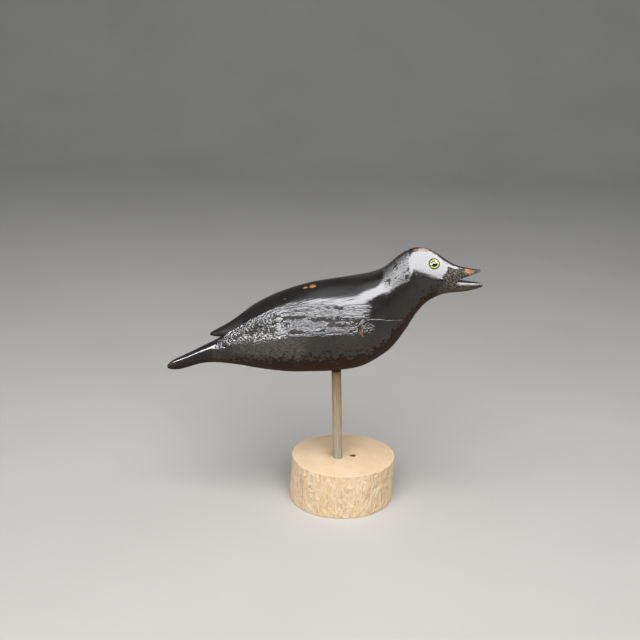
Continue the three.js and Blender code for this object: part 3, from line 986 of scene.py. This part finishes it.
def glass_profile():
    """A flat back with a slightly rounded rim, and a dome that is part of a ball."""
    ball = (EYE_RADIUS ** 2 + EYE_DOME ** 2) / (2 * EYE_DOME)
    profile = [(EYE_RADIUS * 0.04, -EYE_SEAT), (EYE_RADIUS * 0.985, -EYE_SEAT),
               (EYE_RADIUS, -EYE_SEAT * 0.95)]
    for i in range(DOME_STEPS):
        r = EYE_RADIUS * math.cos(math.pi / 2 * i / DOME_STEPS)
        profile.append((r, math.sqrt(ball * ball - r * r) - ball + EYE_DOME))
    profile.append((EYE_RADIUS * 0.01, EYE_DOME))
    return profile


def make_eye(word, side):
    iris_profile = [(EYE_RADIUS * share, up * MM) for share, up in IRIS]
    pupil_profile = [(radius * MM, up * MM) for radius, up in PUPIL]
    button = turned(f"eye_{word}_glass", glass_profile(), EYE_SIDES, glass)
    iris = turned(f"eye_{word}_iris", iris_profile, EYE_SIDES, iris_enamel)
    pupil = turned(f"eye_{word}_pupil", pupil_profile, PUPIL_SIDES, pupil_enamel)
    for piece in (button, iris, pupil):
        piece.matrix_world = bird_place @ eye_place(side)
        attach(piece, "root")
    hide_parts(f"eye_{word}")


make_eye("right", -1)
make_eye("left", 1)


# The dowel

def make_dowel():
    """A round rod with the faint fibres and the slight waver of old wood."""
    z = np.linspace(-DOWEL_IN_LOG, DOWEL_REACH + DOWEL_IN_CROW, DOWEL_RINGS)
    rings = round_rings([(1, height) for height in z], DOWEL_SIDES)
    points = rings.reshape(-1, 3)
    skin = points * [0.006, 0.006, 1]
    fibre = noise(skin, (0.0012, 0.0012, 0.05), 11, 2)
    waver = noise(skin, (0.01, 0.01, 0.03), 12)
    radius = DOWEL_RADIUS - (0.06 + 0.05 * fibre + 0.06 * np.abs(waver)) * MM
    points[:, :2] *= radius[:, None]
    made = solid("dowel_rod", rings, dowel_material())
    smooth_shading(made, 40)
    made.matrix_world = mast_place
    return made


dowel = make_dowel()
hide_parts("dowel_post")
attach(dowel, "root")


# The log slice

# Heights of the rings up the side, in millimetres, closer together at the foot and the rim.
LOG_LEVELS = np.concatenate([[0, 0.4, 0.9], np.linspace(1.6, 52.2, 88), [52.9, 53.4, 53.75, 53.95]])
# The rings of the sawn top, as shares of the way from the pith to the rim.
TOP_RINGS = np.concatenate([np.linspace(0.996, 0.2, 52), np.linspace(0.185, 0.004, 22)])
# Angle, height and size of each knot, in radians and millimetres.
KNOTS = [(-2.41, 42, 1.5), (-2.26, 33, 2.1)]
PITH_HOLE = 3.2
COLLAR_OF_GLUE = 6.0


def log_outline(angle):
    """How far the log's edge is out, as a share of its radius."""
    return (1 + 0.026 * np.cos(2 * angle - 0.25) + 0.006 * np.cos(3 * angle - 1.1)
            + 0.004 * np.sin(5 * angle + 0.4))


def bark_side():
    """Rings up the side of the log, and the fields of its bark."""
    angle = np.linspace(0, 2 * math.pi, LOG_SIDES, endpoint=False)
    a, h = np.meshgrid(angle, LOG_LEVELS * MM)
    share = h / LOG_HEIGHT
    radius = (LOG_FOOT_RADIUS + (LOG_TOP_RADIUS - LOG_FOOT_RADIUS) * share) * log_outline(a)
    side = np.stack([np.cos(a).ravel() * 0.06, np.sin(a).ravel() * 0.06, h.ravel()], -1)
    sway = (0.009, 0.009, 0.012)
    bend = 0.0016 * np.stack([noise(side, sway, 21), noise(side, sway, 22), np.zeros(len(side))], -1)
    # Thin crests that part and meet again, with soft hollows between them.
    crest = 1 - np.abs(noise(side + bend, (0.006, 0.006, 0.019), 23, 2))
    fine_crest = 1 - np.abs(noise(side + bend, (0.0027, 0.0027, 0.009), 24, 2))
    plates = noise(side, (0.013, 0.013, 0.022), 25)
    deep = 0.95 - 0.75 * ease(0.55, 1.0, crest) - 0.75 * ease(0.55, 1.0, fine_crest)
    deep = np.clip(deep - 0.25 * plates, -0.15, 1.7).reshape(a.shape)
    # The bark is broken off at the sawn rim and a little at the foot.
    rim = (LOG_HEIGHT - h) / MM
    deep *= ease(0.2, 3.0, rim)
    deep += 0.7 * np.exp(-rim / 0.5) + 0.4 * np.exp(-h / MM / 0.7)
    furrow = 0.7 * ease(0.5, 1.5, deep) * ease(0.6, 2.4, rim)
    for knot_angle, knot_height, size in KNOTS:
        d = np.hypot((a - (knot_angle % (2 * math.pi))) * 61, h / MM - knot_height)
        knot = np.clip(1.6 - 1.6 * d / size, 0, 1)
        deep += 1.2 * knot
        furrow = np.maximum(furrow, knot)
    reach = radius - (0.33 + deep) * MM
    shift = LOG_HEIGHT * math.tan(LOG_LEAN) * (share - 0.5)
    rings = np.stack([reach * np.cos(a) + shift, reach * np.sin(a), h], -1)
    bark = ease(0.5, 0.9, np.minimum(rim, h / MM + 0.3))
    return rings, {"bark": bark.ravel(), "furrow": furrow.ravel()}


def sawn_top(rim):
    """Rings of the sawn top, drawn in from the rim towards the pith, and the fields of its marks."""
    centre = np.array([PITH.x, PITH.y, 0])
    spokes = rim - centre
    spokes[:, 2] = 0
    rings = centre + spokes[None] * TOP_RINGS[:, None, None]
    flat = rings.reshape(-1, 3)
    pith_x, pith_y = (flat - centre).T[:2] / MM
    reach = 0.8 * np.hypot(pith_x, pith_y) * (1 + 0.12 * noise(flat, (0.003, 0.003, 0.003), 31))
    hole = ease(PITH_HOLE, 1.9, reach)
    scar = ease(1.3, 0.3, np.hypot((pith_x + 3.4) / 2.6, (pith_y - 1) / 2.2))
    dot = ease(1.3, 0.3, np.hypot(flat[:, 0] / MM - 3.6, flat[:, 1] / MM - 0.4))
    # The glue round the dowel, and a darker brown patch beside it.
    foot_x, foot_y = (flat - DOWEL_FOOT).T[:2] / MM
    foot = np.hypot(foot_x, foot_y)
    glue = np.exp(-((foot - COLLAR_OF_GLUE) / 1.5) ** 2)
    glue = glue * (0.55 + 0.35 * noise(flat, (0.004, 0.004, 0.004), 33))
    glue = np.where(foot < COLLAR_OF_GLUE, 0.7, glue)
    dark_patch = np.exp(-np.hypot(foot_x + 7, 0.8 * (foot_y - 7)) ** 2 / 70)
    height = (-0.12 - 0.05 * noise(flat, (0.02, 0.02, 0.02), 32)
              + 0.03 * noise(flat, (0.003, 0.003, 0.003), 34))
    height = np.minimum(height - 2.6 * hole - 0.6 * scar - 0.5 * dot, -0.02)
    share = np.repeat(TOP_RINGS, LOG_SIDES)
    flat[:, 2] = LOG_HEIGHT + (height - 0.35 * np.exp(-75 * (1 - share))) * MM
    pith = np.clip(ease(PITH_HOLE, 2.5, reach) + 0.62 * scar + 0.6 * dot, 0, 1)
    return flat.reshape(rings.shape), {"ring": share * 0.0605, "pith": pith,
                                       "glue": np.clip(glue, 0, 1), "dark_patch": 0.4 * dark_patch}


def make_log():
    side, side_fields = bark_side()
    top, top_fields = sawn_top(side[-1])
    made = solid("log_slice", np.concatenate([side, top]), log_material())
    smooth_shading(made, 60)
    put_fields(made.data, side_fields)
    put_fields(made.data, top_fields, len(side) * LOG_SIDES)
    return made


log = make_log()
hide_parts("log_base")
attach(log, "root")


# The floor, the light and the camera

FLOOR_HALF = 6
FLOOR_FRONT = -4.0
CURVE_START = 2.2
CURVE_RADIUS = 1.6
WALL_TOP = 6.0
# The height that the lamps look at.
AIM_HEIGHT = 0.23
WARM_WHITE = (1.0, 0.985, 0.96)
COOL_WHITE = (0.96, 0.96, 1.0)
# The two broad lamps that the paint mirrors hang one above the other and share these.
SHEEN_AZIMUTH = 18
SHEEN_DISTANCE = 1.2
SHEEN_LENGTH = 3.54
SHEEN_TURN = 13
SKY = (0.9, 0.95, 1.0, 1)
SKY_STRENGTH = 0.18
# The photograph's viewing angle: metres, degrees and, for the lens, millimetres.
CAMERA_AT = (-0.0308, -1.0805, 0.5694)
CAMERA_PITCH = 17.9
CAMERA_ROLL = 1.5
CAMERA_LENS = 56.25


def make_floor():
    """A pale floor that curves up far behind the decoy."""
    turn = np.linspace(0, math.pi / 2, 25)[1:]
    y = np.concatenate([[FLOOR_FRONT, CURVE_START], CURVE_START + CURVE_RADIUS * np.sin(turn),
                        [CURVE_START + CURVE_RADIUS]])
    z = np.concatenate([[0.0, 0.0], CURVE_RADIUS - CURVE_RADIUS * np.cos(turn), [WALL_TOP]])
    vertices = [(x, b, c) for b, c in zip(y, z) for x in (-FLOOR_HALF, FLOOR_HALF)]
    faces = [(2 * i, 2 * i + 1, 2 * i + 3, 2 * i + 2) for i in range(len(y) - 1)]
    made = make_object("floor", vertices, faces, (floor_material(),))
    made.data.shade_smooth()
    return made


floor = make_floor()


def around(elevation, azimuth, distance):
    """A place seen from the crow: degrees up, degrees from the front towards the bill, metres."""
    e, a = math.radians(elevation), math.radians(azimuth)
    return (distance * math.cos(e) * math.sin(a), -distance * math.cos(e) * math.cos(a),
            AIM_HEIGHT + distance * math.sin(e))


def area(name, place, size, power, colour, turn=0.0):
    """A rectangular lamp that looks at the crow. turn is in degrees."""
    data = bpy.data.lights.new(name, "AREA")
    data.shape = "RECTANGLE"
    data.size, data.size_y = size
    data.energy = power
    data.color = colour
    lamp = new_object(name, data)
    aim = (Vector((0, 0, AIM_HEIGHT)) - Vector(place)).to_track_quat("-Z", "Y").to_matrix().to_4x4()
    lamp.matrix_world = Matrix.Translation(place) @ aim @ Matrix.Rotation(math.radians(turn), 4, "Z")
    lamp.visible_camera = False
    return lamp


def sheen(name, place, size, power, turn=0.0):
    """A lamp that shows in polished surfaces only and lights nothing else."""
    lamp = area(name, place, size, power, COOL_WHITE, turn)
    lamp.visible_diffuse = False
    lamp.visible_transmission = False


def make_lights():
    key = area("key", around(54, -2, 1.6), (1.6, 1.6), 42, WARM_WHITE)
    key.visible_glossy = False
    for name, elevation, width, power in (("sheen", 51, 1.64, 308), ("haze", 98.5, 0.56, 7)):
        place = around(elevation, SHEEN_AZIMUTH, SHEEN_DISTANCE)
        sheen(name, place, (SHEEN_LENGTH, width), power, SHEEN_TURN)
    sheen("tail_sheen", (-0.50, -0.28, 0.37), (0.36, 0.26), 11)
    world = bpy.data.worlds.new("studio")
    world.use_nodes = True
    set_inputs(world.node_tree.nodes["Background"], {"Color": SKY, "Strength": SKY_STRENGTH})
    bpy.context.scene.world = world
    bpy.context.scene.view_settings.view_transform = "Standard"


def make_camera():
    lens = bpy.data.cameras.new("camera")
    lens.lens = CAMERA_LENS
    camera = new_object("camera", lens)
    camera.location = CAMERA_AT
    camera.rotation_mode = "QUATERNION"
    pitch = Matrix.Rotation(math.radians(90 - CAMERA_PITCH), 4, "X")
    roll = Matrix.Rotation(math.radians(CAMERA_ROLL), 4, "Z")
    camera.rotation_quaternion = (pitch @ roll).to_quaternion()
    bpy.context.scene.camera = camera


make_lights()
make_camera()
